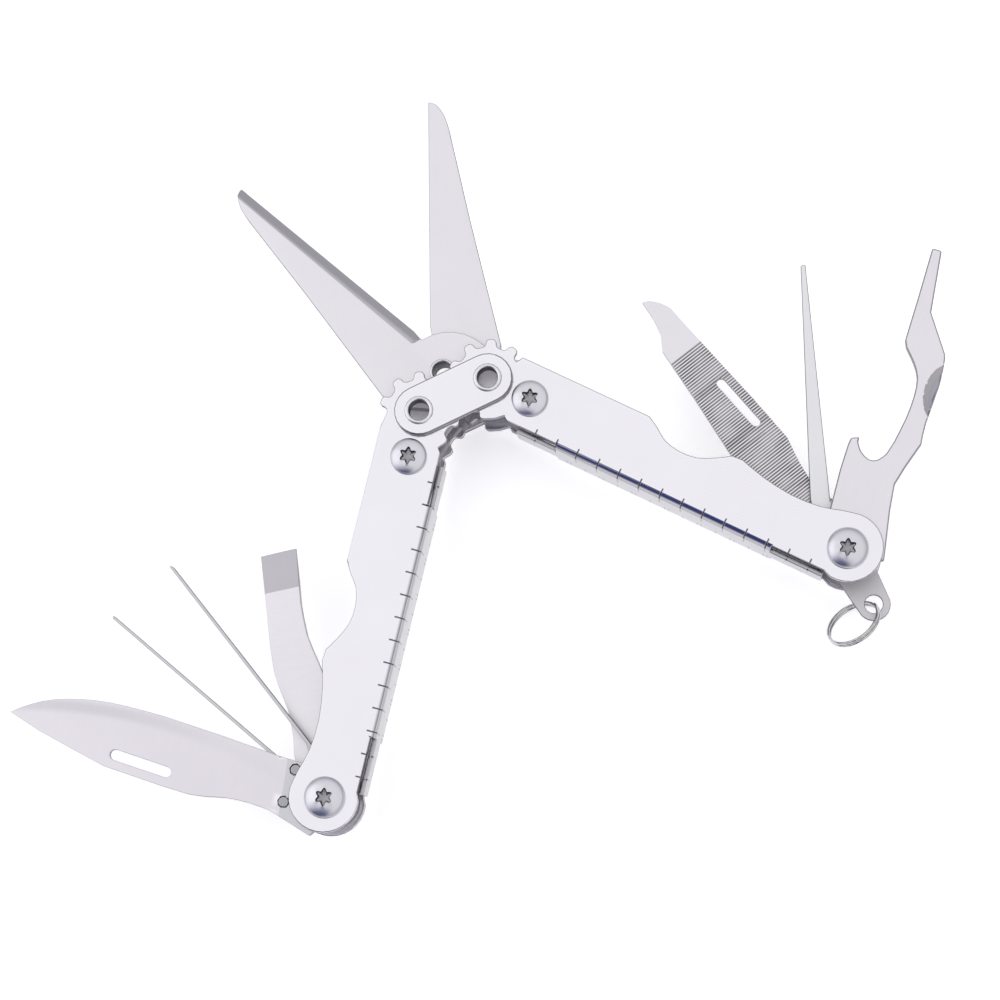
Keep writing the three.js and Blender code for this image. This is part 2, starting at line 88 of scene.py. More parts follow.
MM = 0.001
UP = Vector((0, 0, 1))
SAME_POINT = 0.0005  # millimetres between points that are one
SAME_PLANE = math.radians(0.6)
nodes = frame["nodes"]
joint = {j["name"]: j for j in frame["joints"]}
pivot = {name: Vector(j["pos_m"]) for name, j in joint.items()}
middle_z = (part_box("handle_left")[0].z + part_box("handle_left")[1].z) / 2
half_thickness = (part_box("handle_left")[1].z - middle_z) / MM

# Where things are, from the frame: gear pivots, end pivots and the scissor pivot.
gear_pivot = {"left": pivot["handle_left_swing"], "right": pivot["handle_right_swing"]}
end_pivot = {"left": pivot["knife_fold"], "right": pivot["opener_fold"]}
drive_pivot = {"left": pivot["scissor_rear_swing"], "right": pivot["scissor_front_swing"]}
rivet_low, rivet_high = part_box("scissor_rivet")
scissor_pivot = (rivet_low + rivet_high) / 2
SIDES = {"left": -1, "right": 1}


# ---- Local frames, in millimetres ----
def place(origin, first, second):
    """A matrix from millimetres along two directions, and up from the middle plane, to metres."""
    rows = zip(first * MM, second * MM, UP * MM, Vector((origin.x, origin.y, middle_z)))
    return Matrix([*map(list, rows), [0, 0, 0, 1]])


def handle_frame(side):
    """Along the handle from its gear pivot, out from the other handle, and up."""
    along = (end_pivot[side] - gear_pivot[side]).to_2d().normalized().to_3d()
    out = Vector((-along.y, along.x, 0)) * SIDES[side]
    return place(gear_pivot[side], along, out)


def tip_heading(node, origin):
    """The direction from a pivot to the middle of the points furthest from it."""
    reach = [(v.co - origin).to_2d() for v in nodes[node].data.vertices]
    longest = max(r.length for r in reach)
    far = [r for r in reach if r.length > longest - 0.01 * MM]
    return sum(far, Vector((0, 0))).normalized().to_3d()


def implement_frame(node, side):
    """Along an implement to its tip, towards the side that faces the spine when folded, and up."""
    along = tip_heading(node, end_pivot[side])
    inward = Vector((along.y, -along.x, 0)) * -SIDES[side]
    return place(end_pivot[side], along, inward)


def blade_frame(side):
    """A scissor blade's own frame: along to its tip as when shut, away from the cutting edge, and up."""
    drive = (scissor_pivot - drive_pivot[side]).to_2d()
    gear_half = (gear_pivot["right"] - gear_pivot["left"]).length / 2
    shut_angle = math.asin(gear_half / drive.length)
    turn = Matrix.Rotation(-SIDES[side] * shut_angle, 2)
    along = (turn @ drive.normalized()).to_3d()
    back = Vector((-along.y, along.x, 0)) * SIDES[side]
    return place(scissor_pivot, along, back)


# ---- Materials ----
def add_node(tree, kind, inputs, **settings):
    """A shader node whose inputs are plain values or other nodes' outputs."""
    made = tree.nodes.new(kind)
    for key, value in settings.items():
        setattr(made, key, value)
    for key, value in inputs.items():
        if isinstance(value, bpy.types.NodeSocket):
            tree.links.new(value, made.inputs[key])
        else:
            made.inputs[key].default_value = value
    return made


LEVEL = place(Vector((0, 0, 0)), Vector((1, 0, 0)), Vector((0, 1, 0)))


class Steel:
    """A steel whose pattern is laid out in the millimetres of a local frame."""

    def __init__(self, name, color, roughness, local=LEVEL):
        self.material = bpy.data.materials.new(name)
        self.material.use_nodes = True
        self.tree = self.material.node_tree
        self.bsdf = self.tree.nodes["Principled BSDF"]
        self.bsdf.inputs["Metallic"].default_value = 1.0
        self.color = color
        self.roughness = roughness
        self.along, self.across, self.up = self.coordinates(local)
        self.shade = 1.0
        self.height = 0.0

    def node(self, kind, inputs, **settings):
        return add_node(self.tree, kind, inputs, **settings)

    def math(self, operation, *values, clamp=False):
        inputs = dict(enumerate(values))
        return self.node("ShaderNodeMath", inputs, operation=operation, use_clamp=clamp).outputs[0]

    def coordinates(self, local):
        """The three coordinates of the local frame, in millimetres."""
        point = self.node("ShaderNodeTexCoord", {}).outputs["Object"]
        found = []
        for row in local.inverted()[:3]:
            inputs = {0: point, 1: Vector(row[:3])}
            dot = self.node("ShaderNodeVectorMath", inputs, operation="DOT_PRODUCT")
            found.append(self.math("ADD", dot.outputs["Value"], row[3]))
        return found

    def noise(self, x_scale, y_scale, z_scale, detail=3.0):
        """Noise from 0 to 1, with so many cycles to the millimetre along each local direction."""
        scales = (x_scale, y_scale, z_scale)
        sockets = (self.along, self.across, self.up)
        parts = [self.math("MULTIPLY", socket, scale) for socket, scale in zip(sockets, scales)]
        point = self.node("ShaderNodeCombineXYZ", dict(enumerate(parts))).outputs[0]
        inputs = {"Vector": point, "Scale": 1.0, "Detail": detail, "Roughness": 0.55}
        return self.node("ShaderNodeTexNoise", inputs).outputs[0]

    def ramp(self, value, low, high, to_low, to_high):
        """Goes smoothly from to_low where value is low to to_high where it is high."""
        limits = {"From Min": low, "From Max": high, "To Min": to_low, "To Max": to_high}
        inputs = {"Value": value, **limits}
        return self.node("ShaderNodeMapRange", inputs, interpolation_type="SMOOTHSTEP").outputs[0]

    def near(self, value, centre, half_width, soft):
        """1 where value is within half_width of centre, falling to 0 over soft."""
        distance = self.math("ABSOLUTE", self.math("SUBTRACT", value, centre))
        return self.ramp(distance, half_width, half_width + soft, 1.0, 0.0)

    def darken(self, mask, amount):
        """Takes so much of the brightness away where the mask is 1."""
        self.shade = self.math("MULTIPLY", self.shade, self.math("MULTIPLY_ADD", mask, -amount, 1.0))

    def steepness(self):
        """1 on a level face, 0 on an upright wall."""
        normal = self.node("ShaderNodeNewGeometry", {}).outputs["Normal"]
        return self.math("ABSOLUTE", self.node("ShaderNodeSeparateXYZ", {0: normal}).outputs["Z"])

    def painted_edge_shade(self, wall_shade, rim_shade, rim_where=1.0):
        """Painted shade: upright walls are darkened against the level faces, and the rims between them
        darkened further into thin outlines.
        """
        steepness = self.steepness()
        self.darken(self.ramp(steepness, 0.45, 0.97, 1.0, 0.0), 1.0 - wall_shade)
        rim = self.near(steepness, 0.7, 0.24, 0.05)
        self.darken(self.math("MULTIPLY", rim, rim_where), 1.0 - rim_shade)

    def grain(self, pattern, tone, relief):
        """A fine pattern in brightness, and in height by so many millimetres."""
        self.shade = self.math("MULTIPLY_ADD", self.math("SUBTRACT", pattern, 0.5), tone * 2, self.shade)
        self.height = self.math("MULTIPLY_ADD", pattern, relief * MM, self.height)
        uneven = self.math("MULTIPLY_ADD", self.math("SUBTRACT", pattern, 0.5), tone * 2, self.roughness)
        self.roughness = self.math("MAXIMUM", uneven, 0.05)

    def engrave(self, mask, depth, amount=0.82):
        """Dark marks of a depth in millimetres."""
        self.darken(mask, amount)
        self.height = self.math("MULTIPLY_ADD", mask, -depth * MM, self.height)

    def finish(self):
        """Joins everything into colour, roughness and bump."""
        cloud = self.noise(0.11, 0.11, 0.11, 2.0)
        self.shade = self.math("MULTIPLY_ADD", self.math("SUBTRACT", cloud, 0.5), 0.06, self.shade)
        inputs = {0: Vector(self.color), "Scale": self.shade}
        tint = self.node("ShaderNodeVectorMath", inputs, operation="SCALE").outputs[0]
        self.tree.links.new(tint, self.bsdf.inputs["Base Color"])
        self.tree.links.new(self.roughness, self.bsdf.inputs["Roughness"])
        inputs = {"Height": self.height, "Distance": 1.0, "Strength": 1.0}
        self.tree.links.new(self.node("ShaderNodeBump", inputs).outputs[0], self.bsdf.inputs["Normal"])
        return self.material


SATIN = (0.93, 0.915, 0.955)
BLASTED = (0.87, 0.85, 0.88)
BRUSHED = (0.85, 0.825, 0.86)
KNIFE = (0.78, 0.75, 0.79)
POLISHED = (0.74, 0.73, 0.77)
BRIGHT = (0.80, 0.80, 0.82)
PALE = (0.89, 0.895, 0.90)
# Ground steel, darkened as painted shade for faces ground to a slope.
GROUND_AND_SHADED = (0.55, 0.54, 0.565)
SPECKLED = (0.66, 0.66, 0.67)
TANG = (0.66, 0.65, 0.68)
DULL = (0.42, 0.42, 0.45)
TAB = (0.70, 0.68, 0.695)
WIRE = (0.62, 0.61, 0.60)
# Painted shade: the thumb scoop's slopes, bores and recess walls, and star recess floors.
SCOOP_SHADE = (0.42, 0.42, 0.46)
SHADOWED = (0.12, 0.12, 0.14)
STAR_FLOOR_SHADE = (0.40, 0.39, 0.40)


def satin_steel(name, local=LEVEL, handle=False):
    """The handles and link plates. A handle's rolled spine shines, and has a ruler on it."""
    steel = Steel(name, SATIN, 0.2, local)
    if not handle:
        steel.painted_edge_shade(0.28, 0.5)
    else:
        plate = steel.math("GREATER_THAN", steel.across, BEND_START)
        steel.painted_edge_shade(0.45, 0.5, plate)
        # Painted shade on the level faces at mid height beyond the plate, between the handle's top and
        # bottom layers.
        tongue = steel.near(steel.up, 0.0, 2.4, 0.1)
        beyond_plate = steel.math("LESS_THAN", steel.across, -4.0)
        level = steel.math("GREATER_THAN", steel.steepness(), 0.9)
        shaded_tongue = steel.math("MULTIPLY", steel.math("MULTIPLY", tongue, beyond_plate), level)
        steel.darken(shaded_tongue, 0.5)
        # Painted shade on the upright walls of the gear teeth.
        gear = steel.ramp(steel.along, 5.0, 7.5, 1.0, 0.0)
        upright = steel.ramp(steel.steepness(), 0.2, 0.5, 1.0, 0.0)
        steel.darken(steel.math("MULTIPLY", gear, upright), 0.65)
        rolled = steel.math("SUBTRACT", 1.0, plate)
        steel.roughness = steel.math("MULTIPLY_ADD", rolled, -0.08, steel.roughness)
    steel.grain(steel.noise(12, 12, 12), 0.015, 0.0002)
    if handle:
        steel.engrave(ruler_marks(steel), 0.03)
    return steel.finish()


def blasted_steel(name, local=LEVEL, color=BLASTED):
    steel = Steel(name, color, 0.42, local)
    steel.painted_edge_shade(0.4, 0.5)
    steel.grain(steel.noise(6, 6, 6, 5.0), 0.05, 0.0025)
    return steel.finish()


def brushed_steel(name, local=LEVEL, lengthwise=False, color=BRUSHED, wall_shade=0.35, rim_shade=0.55):
    steel = Steel(name, color, 0.34, local)
    steel.painted_edge_shade(wall_shade, rim_shade)
    stretch = (0.3, 9, 0.3) if lengthwise else (9, 0.3, 0.3)
    steel.grain(steel.noise(*stretch), 0.05, 0.0006)
    return steel.finish()


def turned_steel(name, color=POLISHED, roughness=0.3):
    """Turned and tumbled steel, as on screw heads and rivets."""
    steel = Steel(name, color, roughness)
    steel.grain(steel.noise(5, 5, 5), 0.03, 0.0005)
    return steel.finish()


def pale_steel(name, local=LEVEL, color=PALE, speckle=0.03):
    steel = Steel(name, color, 0.45, local)
    steel.painted_edge_shade(0.3, 0.6)
    steel.grain(steel.noise(3, 3, 3, 4.0), speckle, 0.002)
    return steel.finish()


BEND_START = -3.55  # across a handle, where its plate starts to roll over into the spine
# The ruler on a spine: ticks an eighth of an inch apart over the near edge, and finer ones 2.5 mm
# apart, single and double in turn, over the far edge.
RULER = {"first": 9.3, "pitch": 3.175, "count": 13, "far_pitch": 2.5, "half_width": 0.07, "reach": -3.4}


def repeated(steel, pitch, first):
    """The distance along the handle from the nearest of a row of ticks."""
    turn = steel.math("DIVIDE", steel.math("SUBTRACT", steel.along, first), pitch)
    return steel.math("MULTIPLY", steel.math("SUBTRACT", turn, steel.math("ROUND", turn)), pitch)


def ruler_marks(steel):
    first, pitch, count = RULER["first"], RULER["pitch"], RULER["count"]
    last = first + pitch * count
    in_length = steel.near(steel.along, (first + last) / 2, (last - first) / 2 + 0.5, 0.05)
    on_spine = steel.math("LESS_THAN", steel.across, RULER["reach"])
    outside = steel.math("GREATER_THAN", steel.math("ABSOLUTE", steel.up), half_thickness - 0.82)
    outside = steel.math("MAXIMUM", outside, steel.math("LESS_THAN", steel.across, -4.5))
    region = steel.math("MULTIPLY", steel.math("MULTIPLY", in_length, on_spine), outside)
    near_tick = steel.near(repeated(steel, pitch, first), 0.0, RULER["half_width"], 0.05)
    near_tick = steel.math("MULTIPLY", near_tick, steel.math("GREATER_THAN", steel.up, 1.0))
    single = steel.near(repeated(steel, RULER["far_pitch"], first), 0.0, 0.05, 0.04)
    from_pair = steel.math("ABSOLUTE", repeated(steel, 2 * RULER["far_pitch"], first))
    double = steel.near(from_pair, 0.3, 0.05, 0.04)
    pair_place = steel.math("LESS_THAN", from_pair, 1.0)
    far_tick = steel.math(
        "ADD",
        steel.math("MULTIPLY", double, pair_place),
        steel.math("MULTIPLY", single, steel.math("SUBTRACT", 1.0, pair_place)),
    )
    far_tick = steel.math("MULTIPLY", far_tick, steel.math("LESS_THAN", steel.up, -1.4))
    return steel.math("MULTIPLY", steel.math("ADD", near_tick, far_tick, clamp=True), region, clamp=True)


# ---- Pieces ----
def set_materials(piece, *materials):
    piece.data.materials.clear()
    for material in materials:
        piece.data.materials.append(material)


def shade_smooth(piece):
    piece.data.polygons.foreach_set("use_smooth", [True] * len(piece.data.polygons))
    normals = piece.data.attributes.get("custom_normal")
    if normals:
        piece.data.attributes.remove(normals)


def soften(piece, width, shortest_edge=SAME_POINT):
    """Rounds a piece's sharp edges and shades it smoothly. Shorter edges are closed up first."""
    weld = piece.modifiers.new("weld", "WELD")
    weld.merge_threshold = shortest_edge * MM
    flat = piece.modifiers.new("flat", "DECIMATE")
    flat.decimate_type = "DISSOLVE"
    flat.angle_limit = SAME_PLANE
    flat.delimit = {"MATERIAL"}
    bevel = piece.modifiers.new("edges", "BEVEL")
    bevel.width = width * MM
    bevel.segments = 3
    bevel.limit_method = "ANGLE"
    bevel.angle_limit = math.radians(32)
    bevel.use_clamp_overlap = False
    piece.modifiers.new("shading", "WEIGHTED_NORMAL")
    shade_smooth(piece)


def dress(node, material, width, shortest_edge=SAME_POINT):
    """A CAD node that keeps its shape."""
    set_materials(nodes[node], material)
    soften(nodes[node], width, shortest_edge)


def new_piece(name, mesh, body, stands_for, smooth_angle=35):
    data = bpy.data.meshes.new(name)
    mesh.to_mesh(data)
    mesh.free()
    data.polygons.foreach_set("use_smooth", [True] * len(data.polygons))
    data.set_sharp_from_angle(angle=math.radians(smooth_angle))
    piece = bpy.data.objects.new(name, data)
    bpy.context.scene.collection.objects.link(piece)
    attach(piece, body)
    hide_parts(*stands_for)
    return piece


def rings_mesh(rings, local, closed=False):
    """A closed surface through rings of points, given in a local frame."""
    mesh = bmesh.new()
    made = [[mesh.verts.new(local @ Vector(p)) for p in ring] for ring in rings]
    for lower, upper in zip(made, made[1:] + made[:1] if closed else made[1:]):
        for i in range(len(lower)):
            k = (i + 1) % len(lower)
            mesh.faces.new((lower[i], lower[k], upper[k], upper[i]))
    if not closed:
        mesh.faces.new(list(reversed(made[0])))
        mesh.faces.new(made[-1])
    bmesh.ops.recalc_face_normals(mesh, faces=mesh.faces)
    return mesh


def round_ring(radius, height, sides=72):
    turn = [2 * math.pi * i / sides for i in range(sides)]
    return [(radius * math.cos(a), radius * math.sin(a), height) for a in turn]


def flat_frame(centre):
    return place(centre, Vector((1, 0, 0)), Vector((0, 1, 0)))


RECESS = {"radius": 0.97, "wave": 0.19, "depth": 0.7, "lobes": 6, "round": 1.45}
# The upright part of a face's normal: above the first a face counts as level, and below the second
# it has been ground to a slope.
LEVEL_ENOUGH = 0.7
SLOPING = 0.999


def star_ring(shrink, height, sides=96):
    """A ring round the star recess, which is as large as itself where shrink is 1."""
    points = []
    for i in range(sides):
        a = 2 * math.pi * i / sides
        radius = (RECESS["radius"] + RECESS["wave"] * math.cos(RECESS["lobes"] * a)) * shrink
        points.append((radius * math.cos(a), radius * math.sin(a), height))
    return points


def screw_head(node, face, body, name, reach):
    """A domed head with a star recess, on a plain shank that reaches into the tool."""
    low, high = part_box(node)
    radius = (high.x - low.x) / 2 / MM
    top = (high.z - middle_z if face > 0 else middle_z - low.z) / MM
    seat = half_thickness + 0.03
    rim = seat + 0.25
    shank = radius * (0.32 if face > 0 else 0.5)  # the barrel nuts behind are wider than the screws

    def dome(r):
        return rim + (top - rim) * math.sqrt(max(0.0, 1 - (r / radius) ** 2))

    mouth = dome(RECESS["radius"])
    bottom = top - RECESS["depth"]
    rings = [star_ring(0.25, bottom - 0.1), star_ring(0.8, bottom), star_ring(0.92, bottom + 0.08)]
    rings += [star_ring(1.0, mouth - 0.07), star_ring(1.05, mouth)]
    rings += [round_ring(r * radius, dome(r * radius), 96) for r in (0.52, 0.63, 0.74, 0.84, 0.92, 0.97)]
    rings += [round_ring(radius, rim, 96), round_ring(radius, seat + 0.06, 96)]
    rings += [round_ring(radius - 0.06, seat, 96), round_ring(shank, seat, 96), round_ring(shank, reach, 96)]
    rings = [[(x, y, face * z) for x, y, z in ring] for ring in rings]
    centre = (low + high) / 2
    piece = new_piece(name, rings_mesh(rings, flat_frame(centre)), body, [node])
    set_materials(piece, turned, shadowed, star_floor_shade)

    # Painted shade in the star recess: its walls take the near-black shadowed steel and its floor a darker
    # grey.
    def material_of(x, y, height, normal_z):
        level = abs(normal_z) > LEVEL_ENOUGH
        if math.hypot(x, y) > RECESS["round"] or (level and face * height > mouth - 0.09):
            return 0
        return 2 if level else 1

    paint(piece, flat_frame(centre), material_of)


def tube_piece(node, body, profile, centre, face=1, sides=96):
    """A turned ring from a closed profile of radius and height, with painted shade in its bore."""
    rings = [round_ring(radius, face * height, sides) for radius, height in profile]
    mesh = rings_mesh(rings, flat_frame(centre), closed=True)
    piece = new_piece(node + "_rolled", mesh, body, [node])
    bore = min(radius for radius, height in profile)
    set_materials(piece, bright, shadowed)
    paint(piece, flat_frame(centre), lambda x, y, z, up: int(math.hypot(x, y) < bore + 0.01))
    return piece


def copy_of(node):
    """A CAD node's mesh, welded, with its flat faces made whole."""
    mesh = bmesh.new()
    mesh.from_mesh(nodes[node].data)
    bmesh.ops.remove_doubles(mesh, verts=mesh.verts, dist=SAME_POINT * MM)
    bmesh.ops.dissolve_limit(mesh, angle_limit=SAME_PLANE, verts=mesh.verts, edges=mesh.edges)
    return mesh


def slice_mesh(mesh, local, point, normal):
    """Adds a line of edges where a plane crosses the mesh. Both are given in the local frame."""
    co = local @ Vector(point)
    no = (local.to_3x3() @ Vector(normal)).normalized()
    everything = mesh.verts[:] + mesh.edges[:] + mesh.faces[:]
    bmesh.ops.bisect_plane(mesh, geom=everything, plane_co=co, plane_no=no, dist=1e-8)


def reshape(mesh, local, height_of):
    """Moves each point to the height that height_of gives for its local along, across and height."""
    back = local.inverted()
    for vert in mesh.verts:
        along, across, height = back @ vert.co
        vert.co = local @ Vector((along, across, height_of(along, across, height)))
    bmesh.ops.triangulate(mesh, faces=[f for f in mesh.faces if len(f.verts) > 4])


def paint(piece, local, material_of):
    """Gives each face the material index that material_of returns for its centre and normal."""
    back = local.inverted()
    for polygon in piece.data.polygons:
        along, across, height = back @ polygon.center
        polygon.material_index = material_of(along, across, height, polygon.normal.z)


def mid_height(node):
    low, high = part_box(node)
    return ((low.z + high.z) / 2 - middle_z) / MM


def ramp(value, low, high):
    return min(1.0, max(0.0, (value - low) / (high - low)))


# ---- Handles and link plates ----
for side in SIDES:
    local = handle_frame(side)
    dress("handle_" + side, satin_steel("satin_handle_" + side, local, True), 0.15, 0.035)
satin_plain = satin_steel("satin_link")
for face in ("front", "rear"):
    dress("link_plate_" + face, satin_plain, 0.25)

# ---- Washers and spacers ----
brushed_round = brushed_steel("brushed_washer")
for node in nodes:
    if "washer" in node or "spacer" in node:
        dress(node, brushed_round, 0.05)

# ---- Screws, barrels and rivets ----
turned = turned_steel("turned_screw")
bright = turned_steel("bright_rivet", BRIGHT, 0.22)
shadowed = turned_steel("shadowed_bore", SHADOWED, 0.45)
star_floor_shade = turned_steel("shaded_star_floor", STAR_FLOOR_SHADE, 0.4)
dull = turned_steel("dull_rivet", DULL)
for side in SIDES:
    for spot in ("drive", "end"):
        screw_head(f"{spot}_screw_{side}", 1, "handle_" + side, f"{spot}_screw_head_{side}", -1.4)
        screw_head(f"{spot}_barrel_{side}", -1, "handle_" + side, f"{spot}_barrel_head_{side}", -3.9)


def rolled_lip(bore, collar, top, height):
    """The rolled end of a tubular rivet: up its outside, over, and into its bore."""
    middle = (bore + collar) / 2
    half_width = (collar - bore) / 2
    turn = [math.pi * i / 10 for i in range(11)]
    return [(middle + half_width * math.cos(a), top - height + height * math.sin(a)) for a in turn]


for side in SIDES:
    for face_name, face in (("front", 1), ("rear", -1)):
        node = f"link_rivet_{face_name}_{side}"
        low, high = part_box(node)
        outer = (high.x - low.x) / 2 / MM
        bore, tube, collar = outer * 0.645, outer * 0.773, outer * 0.886
        foot = ((low.z if face > 0 else -high.z) - face * middle_z) / MM
        top = ((high.z if face > 0 else -low.z) - face * middle_z) / MM
        foot_plate = [(bore, foot), (outer, foot), (outer, foot + 0.3), (tube, foot + 0.3)]
        profile = [*foot_plate, (tube, top - 0.17), *rolled_lip(bore, collar, top, 0.17)]
        tube_piece(node, "link", profile, gear_pivot[side], face)

low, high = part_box("scissor_rivet")
bottom, top = (low.z - middle_z) / MM, (high.z - middle_z) / MM
outer = (high.x - low.x) / 2 / MM
head = [(1.35, bottom), (outer - 0.05, bottom), (outer, bottom + 0.05), (outer, bottom + 0.3)]
profile = [*head, (1.6, bottom + 0.3), (1.6, top - 0.3), *rolled_lip(1.35, 1.85, top, 0.3)]
tube_piece("scissor_rivet", "scissor_front", profile, scissor_pivot)

# ---- Scissor blades ----
EDGE_TIP = Vector((39.5, 0.3))
EDGE_HEEL = Vector((7.2, -1.5))
BEVEL = {"width": 1.4, "slope": math.tan(math.radians(31))}
DISC = {"centre": Vector((-1.5, 0.4)), "start": 7.25, "full": 7.6}  # the grind runs out round it


def scissor_blade(node, side, face, name):
    """A blade with a bevel ground along its edge, from the tip to the round of its disc."""
    local = blade_frame(side)
    mesh = copy_of(node)
    edge = (EDGE_TIP - EDGE_HEEL).normalized()
    normal = Vector((-edge.y, edge.x))
    ridge = EDGE_HEEL + normal * BEVEL["width"]
    slice_mesh(mesh, local, (*ridge, 0), (*normal, 0))
    for radius in (DISC["start"], DISC["full"]):
        for degrees in range(-18, 3, 4):
            toward = Vector((math.cos(math.radians(degrees)), math.sin(math.radians(degrees))))
            slice_mesh(mesh, local, (*(DISC["centre"] + radius * toward), 0), (*toward, 0))
    outer = max(abs(corner.z - middle_z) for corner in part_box(node)) / MM

    def bevel_depth(along, across):
        """How far a point lies inside the ground bevel, and 0 on the disc and on the tang."""
        if along < 0:
            return 0.0
        point = Vector((along, across))
        inside_ridge = max(0.0, BEVEL["width"] - (point - EDGE_HEEL).dot(normal))
        return inside_ridge * ramp((point - DISC["centre"]).length, DISC["start"], DISC["full"])

    def height_of(along, across, height):
        if face * height > outer - 0.01:
            return height - face * bevel_depth(along, across) * BEVEL["slope"]
        return height

    reshape(mesh, local, height_of)
    piece = new_piece(name, mesh, nodes[node]["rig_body"], [node])
    set_materials(
        piece,
        blasted_steel("blasted_" + side, local),
        brushed_steel("scissor_bevel_" + side, local, False, GROUND_AND_SHADED, 0.7, 1.0),
    )

    # The ground bevel's sloping faces take the darker steel, which is painted shade for the slope.
    def material_of(along, across, height, normal_z):
        return int(bevel_depth(along, across) > 0 and 0.2 < face * normal_z < SLOPING)

    paint(piece, local, material_of)
    soften(piece, 0.1)


scissor_blade("scissor_blade_front", "right", 1, "scissor_blade_front_ground")
scissor_blade("scissor_blade_rear", "left", -1, "scissor_blade_rear_ground")

# ---- Knife ----
knife_local = implement_frame("knife_blade", "left")
knife_mid = mid_height("knife_blade")
mesh = copy_of("knife_blade")
PLUNGE = {"start": 6.0, "end": 7.4, "slant": 0.12}  # where the grind begins, a little aslant
THINNED = {"spine": -3.4, "edge": 5.0, "least": 0.3, "more": 0.6}  # share of the thickness ground away
for along in (PLUNGE["start"], PLUNGE["end"]):
    slice_mesh(mesh, knife_local, (along, 0, 0), (1, -PLUNGE["slant"], 0))
for across in (-3.2, -1, 1.2, 3.2):
    slice_mesh(mesh, knife_local, (0, across, 0), (0, 1, 0))


def knife_height(along, across, height):
    ground = ramp(along - PLUNGE["slant"] * across, PLUNGE["start"], PLUNGE["end"])
    edge_side = ramp(across, THINNED["spine"], THINNED["edge"])
    thinned = ground * (THINNED["least"] + THINNED["more"] * edge_side)
    return knife_mid + (height - knife_mid) * (1 - thinned)


reshape(mesh, knife_local, knife_height)
knife = new_piece("knife_blade_ground", mesh, "knife", ["knife_blade"])


def knife_steel(name, local):
    """Brushed across, with a band of painted shade, standing in for the hollow grind, curving along the
    belly to the tip.
    """
    steel = Steel(name, KNIFE, 0.34, local)
    steel.painted_edge_shade(0.35, 0.55)
    from_belly = steel.math("SUBTRACT", steel.along, 26.0)
    drop = steel.math("MULTIPLY", steel.math("MULTIPLY", from_belly, from_belly), 0.0075)
    grind_shade_band = steel.near(steel.math("ADD", steel.across, drop), 3.9, 0.2, 1.1)
    steel.darken(steel.math("MULTIPLY", grind_shade_band, steel.ramp(steel.along, 14, 34, 0.15, 1.0)), 0.14)
    steel.grain(steel.noise(9, 0.3, 0.3), 0.05, 0.0006)
    return steel.finish()


set_materials(
    knife,
    knife_steel("brushed_knife", knife_local),
    brushed_steel("brushed_ricasso", knife_local, False, TANG),
)
paint(
    knife,
    knife_local,
    lambda along, across, height, normal_z: int(along - PLUNGE["slant"] * across < PLUNGE["start"]),
)
soften(knife, 0.05)
dress("knife_tang_plate", brushed_steel("brushed_tang", knife_local, False, TANG), 0.12)
for number in (1, 2):
    dress(f"knife_rivet_{number}", dull, 0.15)

# ---- Chisel ----
chisel_local = implement_frame("chisel_driver", "left")
chisel_mid = mid_height("chisel_driver")
GRIND = {"start": 29.9, "end": 35.3, "tip": 0.25}
mesh = copy_of("chisel_driver")
slice_mesh(mesh, chisel_local, (GRIND["start"], 0, 0), (1, 0, 0))


def chisel_height(along, across, height):
    ground = ramp(along, GRIND["start"], GRIND["end"])
    return chisel_mid + (height - chisel_mid) * (1 - ground * (1 - GRIND["tip"]))


reshape(mesh, chisel_local, chisel_height)
chisel = new_piece("chisel_driver_ground", mesh, "chisel", ["chisel_driver"])
set_materials(
    chisel,
    brushed_steel("brushed_chisel", chisel_local),
    brushed_steel("ground_and_shaded_chisel", chisel_local, True, GROUND_AND_SHADED),
)
# The ground end takes the darker steel, which is painted shade for its slope.
paint(chisel, chisel_local, lambda along, across, height, normal_z: int(along > GRIND["start"]))
soften(chisel, 0.04)

# ---- Bottle opener with a driver tip, and a thumb scoop ground into its outer edge ----
opener_local = implement_frame("bottle_opener", "right")
opener_mid = mid_height("bottle_opener")
SCOOP = {"along": 24.3, "across": -9.4, "radius": 5.8, "depth": 1.3, "floor": 0.86}
DRIVER = {"start": 31, "middle": 36, "tip": 43.5, "thinned": 0.5}
mesh = copy_of("bottle_opener")
for along in (18.8, 29.8, DRIVER["start"], DRIVER["middle"]):
    slice_mesh(mesh, opener_local, (along, 0, 0), (1, 0, 0))
for shrink in (1.0, 0.94, SCOOP["floor"], 0.77):
    for degrees in range(-48, 49, 8):
        toward = (math.sin(math.radians(degrees)), math.cos(math.radians(degrees)))
        radius = SCOOP["radius"] * shrink
        point = (SCOOP["along"] + radius * toward[0], SCOOP["across"] + radius * toward[1], 0)
        slice_mesh(mesh, opener_local, point, (*toward, 0))


def scoop_share(along, across):
    """0 at the middle of the scoop's circle, 1 on the circle."""
    return math.hypot(along - SCOOP["along"], across - SCOOP["across"]) / SCOOP["radius"]


def opener_height(along, across, height):
    share = scoop_share(along, across)
    if height > opener_mid and share < 1:
        height -= SCOOP["depth"] * (1 - share**2)
    thinned = DRIVER["thinned"] * ramp(along, DRIVER["start"], DRIVER["tip"])
    return opener_mid + (height - opener_mid) * (1 - thinned)


reshape(mesh, opener_local, opener_height)
opener = new_piece("bottle_opener_ground", mesh, "opener", ["bottle_opener"])
set_materials(
    opener,
    brushed_steel("brushed_opener", opener_local, True),
    brushed_steel("scoop_shade_opener", opener_local, True, SCOOP_SHADE, 0.8, 1.0),
)


# Painted shade: the scoop's sloping faces take the darker steel.
def opener_material(along, across, height, normal_z):
    in_scoop = scoop_share(along, across) < SCOOP["floor"] and height > opener_mid
    return int(in_scoop and 0.3 < normal_z < SLOPING)


paint(opener, opener_local, opener_material)
soften(opener, 0.25)

